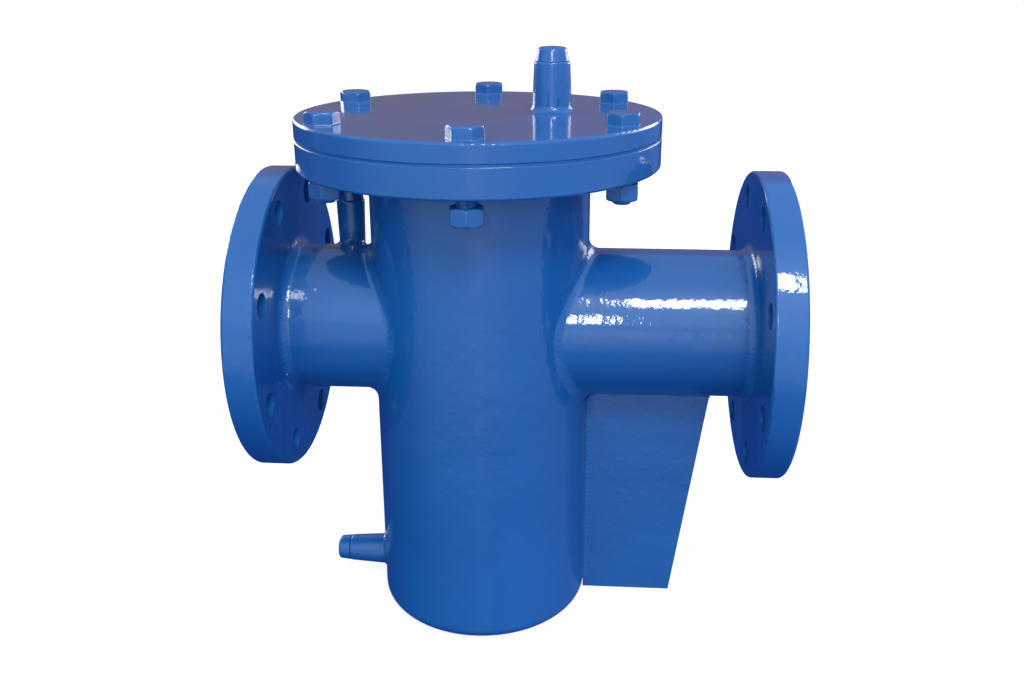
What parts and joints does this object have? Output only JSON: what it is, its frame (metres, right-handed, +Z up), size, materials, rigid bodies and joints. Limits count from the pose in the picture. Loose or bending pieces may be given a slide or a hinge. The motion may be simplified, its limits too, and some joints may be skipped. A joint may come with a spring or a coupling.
{
  "type": "basket strainer",
  "caption": "Welded pipeline basket strainer: flanged side branches, bolted flat cover, lift-out basket on a slanted seat, plugged vent and drain stubs, support plate.",
  "frame": {"origin": "on the body axis at the underside of the bottom plate", "axes": "+Z up along the body axis, +X along the pipe run from the inlet to the outlet"},
  "size_m": [0.4055, 0.272, 0.4495],
  "materials": {
    "blue_enamel": "glossy blue enamel over welded steel",
    "stainless": "rolled stainless sheet and rod",
    "steel_mesh": "woven stainless wire mesh",
    "gasket_sheet": "compressed fibre gasket sheet"
  },
  "bodies": {
    "housing": {"body_shell": "blue_enamel", "bottom_plate": "blue_enamel", "body_ring": "blue_enamel", "inlet_branch": "blue_enamel", "outlet_branch": "blue_enamel", "inlet_flange": "blue_enamel", "outlet_flange": "blue_enamel", "support_plate": "blue_enamel", "drain_stub": "blue_enamel", "gauge_stub": "blue_enamel", "inlet_branch_weld": "blue_enamel", "outlet_branch_weld": "blue_enamel", "inlet_flange_weld": "blue_enamel", "outlet_flange_weld": "blue_enamel", "ring_weld": "blue_enamel", "support_welds": "blue_enamel", "drain_weld": "blue_enamel", "gauge_weld": "blue_enamel", "ring_seal_weld": "blue_enamel", "inlet_seal_weld": "blue_enamel", "outlet_seal_weld": "blue_enamel", "seat_plate": "blue_enamel"},
    "gasket": {"cover_gasket": "gasket_sheet"},
    "cover": {"cover_plate": "blue_enamel", "vent_stub": "blue_enamel", "vent_weld": "blue_enamel"},
    "bolts": {"cover_bolts": "blue_enamel"},
    "nuts": {"cover_nuts": "blue_enamel"},
    "basket": {"basket_rim": "stainless", "basket_shell": "stainless", "mesh_liner": "steel_mesh", "basket_floor": "stainless", "bail_lugs": "stainless"},
    "bail": {"basket_bail": "stainless"},
    "vent_cap": {"vent_plug": "blue_enamel"},
    "drain_cap": {"drain_plug": "blue_enamel"},
    "gauge_cap": {"gauge_plug": "blue_enamel"}
  },
  "joints": [
    {"name": "cover_lift", "type": "slide", "parent": "housing", "child": "cover", "axis": [0, 0, 1], "range_m": [0, 0.46]},
    {"name": "gasket_lift", "type": "slide", "parent": "housing", "child": "gasket", "axis": [0, 0, 1], "range_m": [0, 0.014]},
    {"name": "basket_lift", "type": "slide", "parent": "housing", "child": "basket", "axis": [0, 0, 1], "range_m": [0, 0.37]},
    {"name": "bail_swing", "type": "hinge", "parent": "basket", "child": "bail", "pos_m": [0, 0, 0.26], "axis": [0, 1, 0], "range_deg": [0, 186]},
    {"name": "bolts_out", "type": "slide", "parent": "cover", "child": "bolts", "axis": [0, 0, 1], "range_m": [0, 0.06]},
    {"name": "nuts_off", "type": "slide", "parent": "housing", "child": "nuts", "axis": [0, 0, -1], "range_m": [0, 0.03]},
    {"name": "vent_plug_out", "type": "slide", "parent": "cover", "child": "vent_cap", "axis": [0, 0, 1], "range_m": [0, 0.02]},
    {"name": "drain_plug_out", "type": "slide", "parent": "housing", "child": "drain_cap", "axis": [-1, 0, 0], "range_m": [0, 0.02]},
    {"name": "gauge_plug_out", "type": "slide", "parent": "housing", "child": "gauge_cap", "axis": [0, 0, 1], "range_m": [0, 0.02]}
  ],
  "couplings": [
    {"joint": "basket_lift", "follows": "cover_lift", "ratio": 0.8},
    {"joint": "gasket_lift", "follows": "cover_lift", "ratio": 0.03}
  ]
}
